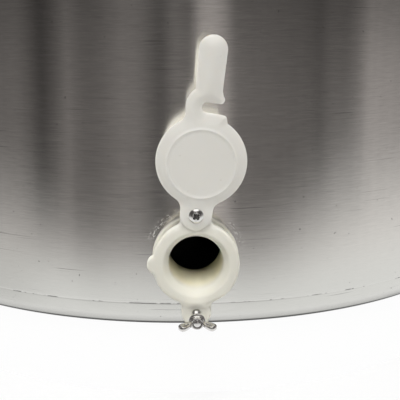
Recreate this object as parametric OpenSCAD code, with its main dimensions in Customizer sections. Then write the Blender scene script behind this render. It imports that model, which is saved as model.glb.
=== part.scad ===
// Honey settling tank: a stainless cylinder with a lift-off lid, two drop handles and a swinging honey gate.
// The origin is on the tank's axis at the base, +Z is up and the gate faces -Y.

/* [Tank] */
// Outside diameter of the tank
tank_d = 600; // [500:10:700]
// Height of the tank to the top of its rolled rim
tank_h = 800; // [700:10:1000]
// Thickness of the steel sheet
sheet_t = 1; // [0.8:0.1:1.5]
// Height of the crease that marks the floor
crease_h = 15.5; // [13:0.5:16]
// Depth of the crease
crease_depth = 0.5; // [0.3:0.1:0.8]
// Width of the crease
crease_w = 2; // [1.5:0.5:4]
// Outside radius of the turned-in bottom edge
foot_r = 4; // [3:0.5:5]
// Width of the flat ring inside the bottom edge
foot_w = 8; // [6:1:12]
// Gap between the floor's flange and the crease
floor_gap = 0.1; // [0.05:0.05:0.3]
// Diameter of the rolled rim
rim_d = 10; // [8:1:14]
// Angle left open where the rolled rim comes back to the wall
rim_open_a = 40; // [30:5:60]
// Outside radius of each stiffening bead
bead_r = 5; // [3:0.5:6]
// Distance from the rim down to the upper bead
bead_high_drop = 62; // [55:1:70]
// Distance from the rim down to the lower bead
bead_low_drop = 250; // [240:5:320]

/* [Lid] */
// Gap between the lid's hem and the rolled rim
lid_gap = 1.5; // [1:0.5:4]
// Gap between the lid and the top of the rim
lid_seat_gap = 0.3; // [0.2:0.1:0.6]
// Height of the lid's skirt
lid_skirt_h = 24; // [18:1:30]
// Height of the lid's raised middle
lid_raise = 12; // [8:1:16]
// Width of the lid's flat margin
lid_margin_w = 40; // [30:1:60]
// Width of the slope up to the raised middle
lid_slope_w = 20; // [15:1:30]
// Outside radius of the bend into the skirt
lid_bend_r = 4; // [3:0.5:6]
// Diameter of the hem along the skirt's edge
lid_hem_d = 4; // [3:0.5:5]
// Distance between the legs of the lid's handle
lid_grip_span = 120; // [100:5:160]
// Height of the lid's handle
lid_grip_h = 46; // [40:1:60]
// Diameter of the lid handle's bar
lid_grip_d = 10; // [9:0.5:12]
// Radius of the lid handle's bends, on the bar's centre
lid_grip_bend_r = 16; // [12:1:20]
// Diameter of the collar at each leg
lid_collar_d = 18; // [16:0.5:24]
// Height of the collar
lid_collar_h = 3; // [2:0.5:5]
// Diameter of the screws in the lid's handle
lid_screw_d = 5; // [4:0.5:6]
// Depth of each screw in its leg
lid_screw_depth = 12; // [10:0.5:16]
// Diameter of the screw heads
lid_head_d = 9; // [8.5:0.5:10]
// Height of the screw heads
lid_head_h = 3; // [2:0.5:4]
// Diameter of the washers under the lid
lid_washer_d = 14; // [12:0.5:18]
// Thickness of those washers
lid_washer_t = 1.2; // [1:0.1:2]

/* [Side handles] */
// Distance from the rim down to the hinge line of the handles
hinge_drop = 145; // [120:5:180]
// Width of each bracket plate
bracket_w = 150; // [140:5:180]
// Height of each bracket plate
bracket_h = 36; // [30:2:50]
// Thickness of each bracket plate
bracket_t = 2; // [1.5:0.5:4]
// Corner radius of each bracket plate
bracket_corner_r = 8; // [4:1:12]
// Gap between a bracket plate and the wall it is welded to
weld_gap = 0.1; // [0.05:0.05:0.2]
// Distance between the middles of a bracket's two ears
ear_span = 96; // [90:2:110]
// Thickness of each ear
ear_t = 6; // [5:0.5:8]
// Radius of each ear
ear_r = 8; // [7:0.5:10]
// Diameter of the bail's rod
bail_d = 8; // [7:0.5:9]
// Distance from the hinge line down to the grip of a hanging bail
bail_drop = 62; // [50:2:80]
// Radius of the bail's lower bends, on the rod's centre
bail_bend_r = 14; // [10:1:18]
// Radius of the bail's bends beside the ears, on the rod's centre
bail_hook_r = 8; // [6:0.5:10]
// Gap between a hanging bail and its bracket plate
bail_gap = 3; // [2:0.5:6]
// Gap between an ear and the bend beside it
ear_gap = 1; // [0.5:0.5:2]
// How far a bail's pin passes through its ear
pin_past = 2; // [1:0.5:3]

/* [Gate body] */
// Gap between the floor and the lock nut
lock_floor_gap = 6.2; // [2:0.1:20]
// Diameter of the outlet
outlet_d = 40; // [36:1:42]
// Width of the chamfer round the outlet
mouth_w = 4; // [2:0.5:6]
// Depth of the chamfer round the outlet
mouth_depth = 6.5; // [3:0.5:8]
// Width of the front flange, from the outlet to its edge
flange_w = 11.5; // [10:0.5:14]
// Thickness of the front flange and its lugs
flange_t = 8.5; // [7:0.5:12]
// How far the lower lug's face lies behind the flange's face
lug_back = 3.5; // [1:0.5:4]
// Distance from the flange's edge in to the step down to the lower lug
lug_step_in = 1; // [0.5:0.5:2]
// Distance from the plate's disc to the pivot, and to the clamp bolt
lug_out = 6; // [5.5:0.5:8]
// Radius of the lug ends
lug_r = 11; // [10:0.5:12]
// Radius of the fillets at the lug roots
lug_fillet_r = 5; // [3:0.5:8]
// Radius of the nub beside the flange
nub_r = 6.5; // [5:0.5:9]
// How far the nub stands out of the flange
nub_out = 4; // [3:0.5:6]
// Thickness of the waist behind the front flange
waist_w = 6; // [5:0.5:8]
// Width of the rear flange, from the outlet to its edge
rear_w = 12; // [11:0.5:15]
// Thickness of the rear flange
rear_t = 5; // [4:0.5:7]
// Thickness of the neck that passes through the wall
neck_w = 4.5; // [3:0.5:5]
// Length of the neck behind the rear flange
neck_l = 33; // [28:1:40]
// How much the outlet widens along the neck, on its radius
neck_draft = 0.8; // [0.4:0.1:1]
// Thickness of the outer gasket where the wall is nearest
gasket_t = 2; // [1.5:0.5:4]
// Radial gap between the neck and the pieces around it
neck_gap = 0.3; // [0.2:0.1:0.5]
// Radial gap between the neck and the lock nut
lock_gap = 0.1; // [0.05:0.05:0.2]
// Gap between each gasket and the wall
seal_gap = 0.05; // [0.02:0.01:0.1]
// Width of the lock nut at its flats, from the neck to its edge
lock_rim_w = 7.5; // [5:0.5:9]
// Thickness of the lock nut
lock_t = 11; // [8:0.5:14]
// Distance from the wall to the lock nut
lock_off = 4; // [3.5:0.5:6]

/* [Gate plate] */
// Thickness of the swinging plate
plate_t = 5; // [4:0.5:6]
// Gap between the plate and the gate's face
plate_gap = 0.1; // [0.1:0.05:0.2]
// Tilt of the open plate to the right, in degrees
open_tilt = 6; // [0:1:15]
// Radius of the tongue at the pivot
tongue_r = 11.5; // [10:0.5:13]
// How far the plate's disc passes the flange's edge
disc_past = 0.5; // [0:0.5:2]
// Radius of the fillets between the tongue and the disc
tongue_fillet_r = 8; // [5:0.5:10]
// Distance from the disc's edge in to the ridge on the disc
ridge_in = 8; // [6:0.5:10]
// Width of the ridge on the disc
ridge_w = 1.5; // [1:0.1:2.5]
// Height of the ridge on the disc
ridge_h = 0.5; // [0.3:0.1:0.8]
// How much wider the hook's slot is than the clamp bolt
slot_play = 1; // [0.8:0.1:2]
// Outside radius of the hook's arm
arm_r = 14.7; // [13.5:0.1:16]
// Radius of the fillet between the arm and the disc
arm_fillet_r = 8; // [5:0.5:10]
// Radius of the lip above the slot's mouth
lip_r = 3; // [2.5:0.1:3.5]
// Distance of the lip's centre from the plate's middle line
lip_out = 8.8; // [8:0.1:10]
// Radius of the corner below the slot's mouth
jaw_r = 2.5; // [2:0.1:3]
// Distance of that corner's centre from the plate's middle line
jaw_out = 12; // [11:0.1:13]
// Width of the plate's handle beside the hook
grip_w = 18.6; // [16:0.2:20]
// Width of the plate's handle at its end
grip_end_w = 19.8; // [16:0.2:22]
// Distance of the handle's middle line from the plate's middle line
grip_shift = 0.4; // [0:0.1:1]
// Length of the plate's handle, from the clamp bolt's place to its end
grip_l = 49.2; // [40:0.2:65]

/* [Fasteners] */
// Diameter of the pivot screw and of the clamp bolt
bolt_d = 6; // [5:0.5:6]
// Radial clearance of the turning fits
run_gap = 0.05; // [0.03:0.01:0.08]
// Radial clearance round a fixed screw or bolt
hole_gap = 0.1; // [0.05:0.05:0.2]
// Distance across the flats of the hex nut and of the bolt's head
hex_w = 10; // [9.5:0.5:11]
// Height of the hex part of the pivot nut
nut_h = 4.5; // [4:0.5:5]
// Height of the locking collar on the pivot nut
nut_collar_h = 1.5; // [1:0.5:2]
// How far the pivot screw stands out of its nut
screw_past = 0.5; // [0.3:0.1:1]
// Room left between the pivot screw's end and the rear flange
nut_room = 0.4; // [0.3:0.1:2]
// Height of the bolt's hex head
bolt_head_h = 4; // [3:0.5:5]
// Chamfer at the clamp bolt's end
bolt_chamfer = 0.6; // [0.4:0.1:1]
// Diameter of the washers
washer_d = 12; // [11:0.5:13]
// Thickness of the washers
washer_t = 1.6; // [1:0.1:2]
// Diameter of the pivot screw's head
dome_d = 10.5; // [10:0.5:12]
// Height of the dome on that head
dome_h = 2.7; // [2:0.1:3.5]
// Height of the straight edge of that head
dome_edge_h = 0.6; // [0.4:0.1:1]
// Width of the cross recess's slots
recess_w = 1.1; // [0.8:0.1:1.4]
// Length of the cross recess's slots
recess_l = 5; // [4:0.5:6]
// Depth of the cross recess
recess_depth = 1.8; // [1:0.1:2.2]
// Gap between the plate and the washer with the wing nut as photographed
clamp_room = 6.5; // [1.5:0.5:7]
// Diameter of the wing nut's base
hub_base_d = 10.5; // [10:0.5:14]
// Diameter of the wing nut's hub at its outer end
hub_end_d = 8.5; // [8:0.5:10]
// Height of the wing nut's hub
hub_h = 4; // [3.5:0.5:10]
// How far the clamp bolt stands out of the wing nut
bolt_past = 0.5; // [0.2:0.1:2]
// Distance across the wings
wing_span = 28.5; // [26:0.5:29.5]
// Height of the wings above the wing nut's base
wing_h = 15.5; // [13:0.5:18]
// Thickness of the wings
wing_t = 3; // [2:0.1:3.5]
// Radius of the rounded wing ends
wing_end_r = 4; // [3:0.5:5.5]

/* [Hidden] */
$fn = 72;
// Facets drawn round the wide curves of the tank's wall
wall_fn = 240;
// How far each cut runs past the face that it opens
overrun = 2;
// Steps in each drawn arc of an outline
arc_steps = 14;
// Where the wings leave the hub, as shares of its height and of its radius
wing_root_share = 0.18;
wing_neck_share = 0.84;
wing_neck_h_share = 0.97;
// Where the jaw's edge and the lip's edge leave their round corners, in degrees
jaw_turn = 30;
lip_turn = 50;
// How far the jaw's edge leans back to the disc, in degrees about the disc's centre
jaw_lean = 5;
// Share of the hook arm's radius at which the handle's right edge begins
grip_start_share = 0.82;
// Share of a hex nut's width that its locking collar takes
collar_share = 0.92;
// Where the edges of a wing meet its round end, in degrees
wing_low_turn = -40;
wing_high_turn = 130;

tank_r = tank_d / 2;
tank_in_r = tank_r - sheet_t;
rim_r = rim_d / 2;
rim_c_r = tank_in_r + rim_r;
rim_c_z = tank_h - rim_r;
bead_high_z = tank_h - bead_high_drop;
bead_low_z = tank_h - bead_low_drop;
floor_r = tank_in_r - crease_depth - floor_gap;

lid_hem_r = lid_hem_d / 2;
lid_in_r = tank_in_r + rim_d + lid_gap + lid_hem_r - sheet_t / 2;
lid_out_r = lid_in_r + sheet_t;
lid_z = tank_h + lid_seat_gap;
lid_top_z = lid_z + lid_raise + sheet_t;
lid_flat_r = lid_out_r - lid_margin_w;
lid_mid_r = lid_flat_r - lid_slope_w;
lid_leg_x = lid_grip_span / 2;
lid_under_z = lid_z + lid_raise;

hinge_z = tank_h - hinge_drop;
bail_r = bail_d / 2;
plate_back_r = tank_r + weld_gap;
plate_front_r = plate_back_r + bracket_t;
hinge_x = plate_front_r + bail_gap + bail_r;
ear_y = ear_span / 2;
hook_y = ear_y + ear_t / 2 + ear_gap;
leg_y = hook_y + bail_hook_r;
pin_y = ear_y - ear_t / 2 - pin_past;

bolt_r = bolt_d / 2;
outlet_r = outlet_d / 2;
flange_r = outlet_r + flange_w;
waist_r = outlet_r + waist_w;
rear_r = outlet_r + rear_w;
neck_r = outlet_r + neck_w;
lock_r = neck_r + lock_rim_w;
gate_z = crease_h + sheet_t + lock_floor_gap + lock_r;
disc_r = flange_r + disc_past;
ridge_r = disc_r - ridge_in;
lug_reach = disc_r + lug_out;
hex_r = hex_w / 2 / cos(30);
waist_l = washer_t + nut_h + nut_collar_h + screw_past + nut_room;
rear_z = flange_t + waist_l;
neck_z = rear_z + rear_t;
face_off = neck_z + gasket_t;
face_y = tank_r + face_off;
lock_z = face_off + sheet_t + lock_off;
slot_r = 2 * lug_reach;
slot_half = (bolt_d + slot_play) / 2;
plate_l = slot_r + grip_l;
washer_z = plate_gap + plate_t + clamp_room;
wing_z = washer_z + washer_t;
bolt_end_z = wing_z + hub_h + bolt_past;

// A step of one in a direction given in degrees
function along(a) = [cos(a), sin(a)];
// Points along an arc about c from angle a to angle b
function arc(c, r, a, b) = [for (i = [0:arc_steps]) c + r * along(a + (b - a) * i / arc_steps)];
// Direction of a vector, in degrees
function heading(v) = atan2(v[1], v[0]);
// Where a circle of radius f rests in the corner between a disc about (0, y) and the line x = w
function corner_rest(y, r, w, f, side) = [w + f, y + side * sqrt(pow(r + f, 2) - pow(w + f, 2))];

// Gate frame: x to the right, y up and z out of the gate's face, seen from the front
module at_gate() {
    translate([0, -face_y, gate_z]) rotate([90, 0, 0]) children();
}

// A quarter of a ring in the r and z plane, turned to the given quarter
module bend_2d(r, t, turn) {
    rotate(turn) intersection() {
        difference() {
            circle(r);
            circle(r - t);
        }
        square(r);
    }
}

// A quarter bend of round bar in the xy plane
module bar_bend(r, d, turn) {
    rotate(turn) rotate_extrude(angle = 90) translate([r, 0]) circle(d = d);
}

// A ring of the given radii that stands on z = 0
module ring(r_out, r_in, h) {
    difference() {
        cylinder(r = r_out, h = h);
        translate([0, 0, -overrun]) cylinder(r = r_in, h = h + 2 * overrun);
    }
}

module rim_2d() {
    translate([rim_c_r, rim_c_z]) difference() {
        circle(rim_r);
        circle(rim_r - sheet_t);
        polygon([[0, 0], [-rim_d, 0], [-rim_d, -rim_d], [-rim_d * tan(rim_open_a), -rim_d]]);
    }
}

module bead_2d(z) {
    translate([tank_in_r, z]) difference() {
        circle(bead_r);
        translate([-bead_r - overrun, -bead_r - overrun]) square([bead_r + overrun, 2 * (bead_r + overrun)]);
    }
}

module shell_2d() {
    difference() {
        union() {
            translate([tank_in_r, foot_r]) square([sheet_t, rim_c_z - foot_r]);
            translate([tank_r - foot_r, foot_r]) bend_2d(foot_r, sheet_t, -90);
            translate([tank_r - foot_r - foot_w, 0]) square([foot_w, sheet_t]);
            polygon([[tank_in_r, crease_h - crease_w / 2], [tank_in_r, crease_h + crease_w / 2],
                [tank_in_r - crease_depth, crease_h]]);
            rim_2d();
            bead_2d(bead_high_z);
            bead_2d(bead_low_z);
        }
        polygon([[tank_r, crease_h - crease_w / 2], [tank_r, crease_h + crease_w / 2],
            [tank_r - crease_depth, crease_h]]);
        translate([tank_in_r, bead_high_z]) circle(bead_r - sheet_t);
        translate([tank_in_r, bead_low_z]) circle(bead_r - sheet_t);
    }
}

module tank_shell() {
    color("silver") difference() {
        rotate_extrude() shell_2d();
        at_gate() translate([0, 0, -face_off - neck_l])
            cylinder(r = neck_r + neck_gap, h = face_off + neck_l);
    }
}

module tank_floor() {
    color("lightgray") rotate_extrude() {
        translate([0, crease_h]) square([floor_r - foot_r, sheet_t]);
        translate([floor_r - foot_r, crease_h + sheet_t - foot_r]) bend_2d(foot_r, sheet_t, 0);
        translate([floor_r - sheet_t, foot_r]) square([sheet_t, crease_h + sheet_t - 2 * foot_r]);
    }
}

module lid_2d() {
    polygon([[0, lid_under_z], [lid_mid_r, lid_under_z], [lid_flat_r, lid_z], [lid_out_r - lid_bend_r, lid_z],
        [lid_out_r - lid_bend_r, lid_z + sheet_t], [lid_flat_r, lid_z + sheet_t],
        [lid_mid_r, lid_top_z], [0, lid_top_z]]);
    translate([lid_out_r - lid_bend_r, lid_z + sheet_t - lid_bend_r]) bend_2d(lid_bend_r, sheet_t, 0);
    translate([lid_in_r, lid_z - lid_skirt_h]) square([sheet_t, lid_skirt_h + sheet_t - lid_bend_r]);
    translate([lid_in_r + sheet_t / 2, lid_z - lid_skirt_h]) circle(lid_hem_r);
}

module at_lid_legs() {
    for (side = [-1, 1]) translate([side * lid_leg_x, 0, 0]) children();
}

module lid() {
    color("silver") difference() {
        rotate_extrude() lid_2d();
        at_lid_legs() translate([0, 0, lid_z])
            cylinder(r = lid_screw_d / 2 + hole_gap, h = lid_raise + sheet_t + overrun);
    }
}

module lid_handle_half() {
    leg_h = lid_grip_h - lid_grip_d / 2 - lid_grip_bend_r;
    translate([lid_leg_x, 0, 0]) cylinder(d = lid_grip_d, h = leg_h);
    translate([lid_leg_x, 0, 0]) cylinder(d = lid_collar_d, h = lid_collar_h);
    translate([lid_leg_x - lid_grip_bend_r, 0, leg_h]) rotate([90, 0, 0])
        bar_bend(lid_grip_bend_r, lid_grip_d, 0);
}

module lid_handle() {
    color("gainsboro") translate([0, 0, lid_top_z]) difference() {
        union() {
            lid_handle_half();
            mirror([1, 0, 0]) lid_handle_half();
            translate([lid_grip_bend_r - lid_leg_x, 0, lid_grip_h - lid_grip_d / 2]) rotate([0, 90, 0])
                cylinder(d = lid_grip_d, h = lid_grip_span - 2 * lid_grip_bend_r);
        }
        at_lid_legs() translate([0, 0, -overrun])
            cylinder(r = lid_screw_d / 2 + hole_gap, h = lid_screw_depth + 2 * overrun);
    }
}

module lid_handle_screws() {
    color("gray") at_lid_legs() translate([0, 0, lid_under_z - lid_washer_t]) {
        cylinder(d = lid_screw_d, h = lid_washer_t + sheet_t + lid_screw_depth);
        translate([0, 0, -lid_head_h]) difference() {
            cylinder(d = lid_head_d, h = lid_head_h);
            translate([-lid_head_d, -recess_w / 2, -overrun])
                cube([2 * lid_head_d, recess_w, lid_head_h / 2 + overrun]);
        }
    }
}

module lid_handle_washers() {
    color("darkgray") at_lid_legs() translate([0, 0, lid_under_z - lid_washer_t])
        ring(lid_washer_d / 2, lid_screw_d / 2 + hole_gap, lid_washer_t);
}

module bracket_outline() {
    w = bracket_w / 2 - bracket_corner_r;
    h = bracket_h / 2 - bracket_corner_r;
    polygon(concat(arc([w, h], bracket_corner_r, 0, 90), arc([-w, h], bracket_corner_r, 90, 180),
        arc([-w, -h], bracket_corner_r, 180, 270), arc([w, -h], bracket_corner_r, 270, 360)));
}

module ear_2d() {
    circle(ear_r);
    translate([-hinge_x / 2, -ear_r]) square([hinge_x / 2, 2 * ear_r]);
}

// The bracket on the +X side
module handle_bracket() {
    difference() {
        union() {
            intersection() {
                translate([0, 0, hinge_z - bracket_h])
                    cylinder(r = plate_front_r, h = 2 * bracket_h, $fn = wall_fn);
                translate([tank_r / 2, 0, hinge_z]) rotate([90, 0, 90])
                    linear_extrude(height = tank_r) bracket_outline();
            }
            for (side = [-1, 1]) translate([hinge_x, side * ear_y + ear_t / 2, hinge_z]) rotate([90, 0, 0])
                linear_extrude(height = ear_t) ear_2d();
        }
        translate([0, 0, hinge_z - bracket_h]) cylinder(r = plate_back_r, h = 2 * bracket_h, $fn = wall_fn);
        translate([hinge_x, -leg_y, hinge_z]) rotate([-90, 0, 0])
            cylinder(r = bail_r + run_gap, h = 2 * leg_y);
    }
}

module left_handle_bracket() {
    color("lightgray") mirror([1, 0, 0]) handle_bracket();
}

module right_handle_bracket() {
    color("lightgray") handle_bracket();
}

// Half of a bail in its own plane: the pin along x, the leg down -y
module bail_half() {
    translate([pin_y, 0, 0]) rotate([0, 90, 0]) cylinder(r = bail_r, h = hook_y - pin_y);
    translate([hook_y, -bail_hook_r, 0]) bar_bend(bail_hook_r, bail_d, 0);
    translate([leg_y, bail_bend_r - bail_drop, 0]) rotate([-90, 0, 0])
        cylinder(r = bail_r, h = bail_drop - bail_bend_r - bail_hook_r);
    translate([leg_y - bail_bend_r, bail_bend_r - bail_drop, 0]) bar_bend(bail_bend_r, bail_d, -90);
}

// The bail on the +X side, as it hangs
module handle_bail() {
    translate([hinge_x, 0, hinge_z]) rotate([90, 0, 90]) {
        bail_half();
        mirror([1, 0, 0]) bail_half();
        translate([bail_bend_r - leg_y, -bail_drop, 0]) rotate([0, 90, 0])
            cylinder(r = bail_r, h = 2 * (leg_y - bail_bend_r));
    }
}

module left_handle_bail() {
    color("gainsboro") mirror([1, 0, 0]) handle_bail();
}

module right_handle_bail() {
    color("gainsboro") handle_bail();
}

module gate_outline() {
    low = corner_rest(0, flange_r, lug_r, lug_fillet_r, -1);
    high = corner_rest(0, flange_r, lug_r, lug_fillet_r, 1);
    nub_c = -flange_r - nub_out + nub_r;
    right = concat(
        arc([0, -lug_reach], lug_r, -90, 0),
        arc(low, lug_fillet_r, 180, heading(-low)),
        arc([0, 0], flange_r, heading(low), heading(high)),
        arc(high, lug_fillet_r, 360 + heading(-high), 180),
        arc([0, lug_reach], lug_r, 0, 90));
    polygon(right);
    mirror([1, 0]) polygon(right);
    translate([nub_c, 0]) circle(nub_r);
}

// The lower lug and its roots, up to a circle just inside the flange's edge
module lower_lug_2d() {
    w = lug_r + lug_fillet_r;
    difference() {
        translate([-w, -lug_reach - lug_r - overrun]) square([2 * w, lug_reach + overrun]);
        circle(flange_r - lug_step_in);
    }
}

module gate_body() {
    color("ivory") at_gate() difference() {
        union() {
            translate([0, 0, -flange_t]) linear_extrude(height = flange_t) gate_outline();
            translate([0, 0, -rear_z]) cylinder(r = waist_r, h = waist_l);
            translate([0, 0, -neck_z]) cylinder(r = rear_r, h = rear_t);
            translate([0, 0, -neck_z - neck_l]) cylinder(r = neck_r, h = neck_l);
        }
        translate([0, 0, -neck_z]) cylinder(r = outlet_r, h = neck_z + overrun);
        translate([0, 0, -neck_z - neck_l]) cylinder(r1 = outlet_r + neck_draft, r2 = outlet_r, h = neck_l);
        translate([0, 0, -mouth_depth]) cylinder(r1 = outlet_r, r2 = outlet_r + mouth_w, h = mouth_depth);
        for (side = [-1, 1]) translate([0, side * lug_reach, -flange_t - overrun])
            cylinder(r = bolt_r + hole_gap, h = flange_t + 2 * overrun);
        translate([0, 0, -lug_back]) linear_extrude(height = lug_back + overrun) lower_lug_2d();
    }
}

module gate_outer_gasket() {
    color("dimgray") difference() {
        at_gate() translate([0, 0, -neck_z - neck_l]) ring(rear_r, neck_r + neck_gap, neck_l);
        cylinder(r = tank_r + seal_gap, h = tank_h, $fn = wall_fn);
    }
}

module gate_inner_gasket() {
    color("dimgray") intersection() {
        at_gate() translate([0, 0, -lock_z]) ring(lock_r, neck_r + neck_gap, lock_z);
        cylinder(r = tank_in_r - seal_gap, h = tank_h, $fn = wall_fn);
    }
}

module gate_lock_nut() {
    color("white") at_gate() translate([0, 0, -lock_z - lock_t]) difference() {
        rotate(22.5) cylinder(r = lock_r / cos(22.5), h = lock_t, $fn = 8);
        translate([0, 0, -overrun]) cylinder(r = neck_r + lock_gap, h = lock_t + 2 * overrun);
    }
}

// The plate's outline about its pivot, with the handle up and the slot's mouth on the right
module plate_outline() {
    disc_c = [0, lug_reach];
    slot_c = [0, slot_r];
    tongue_rest = corner_rest(lug_reach, disc_r, tongue_r, tongue_fillet_r, -1);
    jaw_reach = slot_r - slot_half - jaw_r;
    jaw_a = asin(jaw_out / jaw_reach);
    jaw_c = jaw_reach * [sin(jaw_a), cos(jaw_a)];
    lip_reach = slot_r + slot_half + lip_r;
    lip_a = asin(lip_out / lip_reach);
    lip_c = lip_reach * [sin(lip_a), cos(lip_a)];
    jaw_start = jaw_c + jaw_r * along(jaw_turn);
    arm_disc = disc_r + arm_fillet_r;
    arm_up = (pow(arm_disc, 2) - pow(arm_r + arm_fillet_r, 2) + pow(lug_reach, 2)) / (2 * lug_reach);
    arm_rest = [-sqrt(pow(arm_disc, 2) - pow(arm_up, 2)), lug_reach + arm_up];
    grip_left = grip_shift - grip_w / 2;
    grip_join = acos(grip_left / arm_r);
    grip_end_c = [grip_shift, plate_l - grip_end_w / 2];
    polygon(concat(
        arc([0, 0], tongue_r, 180, 360),
        arc(tongue_rest, tongue_fillet_r, 180, heading(disc_c - tongue_rest)),
        arc(disc_c, disc_r, heading(tongue_rest - disc_c), heading(jaw_start - disc_c) - jaw_lean),
        arc(jaw_c, jaw_r, jaw_turn, 90 - jaw_a),
        arc([0, 0], slot_r - slot_half, 90 - jaw_a, 90),
        arc(slot_c, slot_half, 270, 90),
        arc([0, 0], slot_r + slot_half, 90, 90 - lip_a),
        arc(lip_c, lip_r, -90 - lip_a, lip_turn),
        [[grip_shift + grip_w / 2, slot_r + arm_r * grip_start_share]],
        arc(grip_end_c, grip_end_w / 2, 0, 180),
        arc(slot_c, arm_r, grip_join, 360 + heading(arm_rest - slot_c)),
        arc(arm_rest, arm_fillet_r, heading(slot_c - arm_rest), heading(disc_c - arm_rest)),
        arc(disc_c, disc_r, heading(arm_rest - disc_c), 180 - heading(tongue_rest - disc_c)),
        arc([-tongue_rest[0], tongue_rest[1]], tongue_fillet_r, 180 - heading(disc_c - tongue_rest), 0)));
}

module gate_plate() {
    color("ivory") at_gate() translate([0, lug_reach, plate_gap]) rotate(-open_tilt) difference() {
        union() {
            linear_extrude(height = plate_t) plate_outline();
            translate([0, lug_reach, plate_t / 2])
                ring(ridge_r + ridge_w / 2, ridge_r - ridge_w / 2, plate_t / 2 + ridge_h);
        }
        translate([0, 0, -overrun]) cylinder(r = bolt_r + run_gap, h = plate_t + 2 * overrun);
    }
}

module dome_2d() {
    dome_r = (pow(dome_d / 2, 2) + pow(dome_h, 2)) / (2 * dome_h);
    square([dome_d / 2, dome_edge_h]);
    translate([0, dome_edge_h]) intersection() {
        translate([0, dome_h - dome_r]) circle(dome_r);
        square([dome_d / 2, dome_h]);
    }
}

module pivot_screw() {
    head_z = plate_gap + plate_t + plate_gap;
    color("gray") at_gate() translate([0, lug_reach, 0]) difference() {
        union() {
            translate([0, 0, nut_room - rear_z]) cylinder(r = bolt_r, h = rear_z - nut_room + head_z);
            translate([0, 0, head_z]) rotate_extrude() dome_2d();
        }
        for (turn = [0, 90]) rotate(turn)
            translate([-recess_l / 2, -recess_w / 2, head_z + dome_edge_h + dome_h - recess_depth])
            cube([recess_l, recess_w, recess_depth + overrun]);
    }
}

module pivot_washer() {
    color("darkgray") at_gate() translate([0, lug_reach, -flange_t - washer_t])
        ring(washer_d / 2, bolt_r + hole_gap, washer_t);
}

module pivot_nut() {
    color("gray") at_gate() translate([0, lug_reach, -flange_t - washer_t - nut_h]) difference() {
        union() {
            cylinder(r = hex_r, h = nut_h, $fn = 6);
            translate([0, 0, -nut_collar_h]) cylinder(r = collar_share * hex_w / 2, h = nut_collar_h);
        }
        translate([0, 0, -nut_collar_h - overrun])
            cylinder(r = bolt_r + hole_gap, h = nut_h + nut_collar_h + 2 * overrun);
    }
}

module clamp_bolt() {
    color("gray") at_gate() translate([0, -lug_reach, -flange_t]) {
        cylinder(r = bolt_r, h = flange_t + bolt_end_z - bolt_chamfer);
        translate([0, 0, flange_t + bolt_end_z - bolt_chamfer])
            cylinder(r1 = bolt_r, r2 = bolt_r - bolt_chamfer, h = bolt_chamfer);
        translate([0, 0, -bolt_head_h]) cylinder(r = hex_r, h = bolt_head_h, $fn = 6);
    }
}

module clamp_washer() {
    color("darkgray") at_gate() translate([0, -lug_reach, washer_z])
        ring(washer_d / 2, bolt_r + hole_gap, washer_t);
}

// One wing in the plane of the bolt's axis: x outward, y along the bolt
module wing_2d() {
    c = [wing_span / 2 - wing_end_r, wing_h - wing_end_r];
    translate(c) circle(wing_end_r);
    polygon([[0, hub_h * wing_root_share], [hub_base_d / 2 * wing_neck_share, hub_h * wing_root_share],
        c + wing_end_r * along(wing_low_turn),
        c + wing_end_r * along(wing_high_turn),
        [hub_end_d / 2 * wing_neck_share, hub_h * wing_neck_h_share], [0, hub_h * wing_neck_h_share]]);
}

module wing_nut() {
    color("silver") at_gate() translate([0, -lug_reach, wing_z]) difference() {
        union() {
            cylinder(d1 = hub_base_d, d2 = hub_end_d, h = hub_h);
            for (side = [0, 1]) mirror([side, 0, 0]) translate([0, wing_t / 2, 0]) rotate([90, 0, 0])
                linear_extrude(height = wing_t) wing_2d();
        }
        translate([0, 0, -overrun]) cylinder(r = bolt_r + run_gap, h = wing_h + 2 * overrun);
    }
}

tank_shell();
tank_floor();
lid();
lid_handle();
lid_handle_screws();
lid_handle_washers();
left_handle_bracket();
right_handle_bracket();
left_handle_bail();
right_handle_bail();
gate_body();
gate_outer_gasket();
gate_inner_gasket();
gate_lock_nut();
gate_plate();
pivot_screw();
pivot_washer();
pivot_nut();
clamp_bolt();
clamp_washer();
wing_nut();
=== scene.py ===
"""Honey settling tank with a swinging honey gate, dressed for a picture.

Lengths are in millimetres until a piece is finished, and the frame is the CAD's:
the origin on the tank's axis at its base, +Z up, the gate facing -Y.
"""
import math

import bmesh
import bpy
import numpy as np
from mathutils import Matrix, Vector
from mathutils.geometry import delaunay_2d_cdt


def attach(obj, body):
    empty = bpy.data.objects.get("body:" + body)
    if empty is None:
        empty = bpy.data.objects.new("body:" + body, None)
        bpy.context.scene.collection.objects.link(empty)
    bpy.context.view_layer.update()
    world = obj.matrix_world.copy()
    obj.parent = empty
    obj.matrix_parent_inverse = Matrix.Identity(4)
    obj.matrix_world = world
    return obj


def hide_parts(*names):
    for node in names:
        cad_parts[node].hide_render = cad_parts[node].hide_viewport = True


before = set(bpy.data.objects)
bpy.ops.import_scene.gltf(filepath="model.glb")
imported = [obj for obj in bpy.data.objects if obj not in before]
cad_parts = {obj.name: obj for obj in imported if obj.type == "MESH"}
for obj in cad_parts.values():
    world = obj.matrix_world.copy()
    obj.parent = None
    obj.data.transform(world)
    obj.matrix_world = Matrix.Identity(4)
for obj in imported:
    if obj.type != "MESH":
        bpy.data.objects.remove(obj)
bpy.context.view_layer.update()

MM = 0.001
TAU = 2 * math.pi
MERGE = 2e-6
SLIVER = 1e-7

# Sizes that several pieces share

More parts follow.
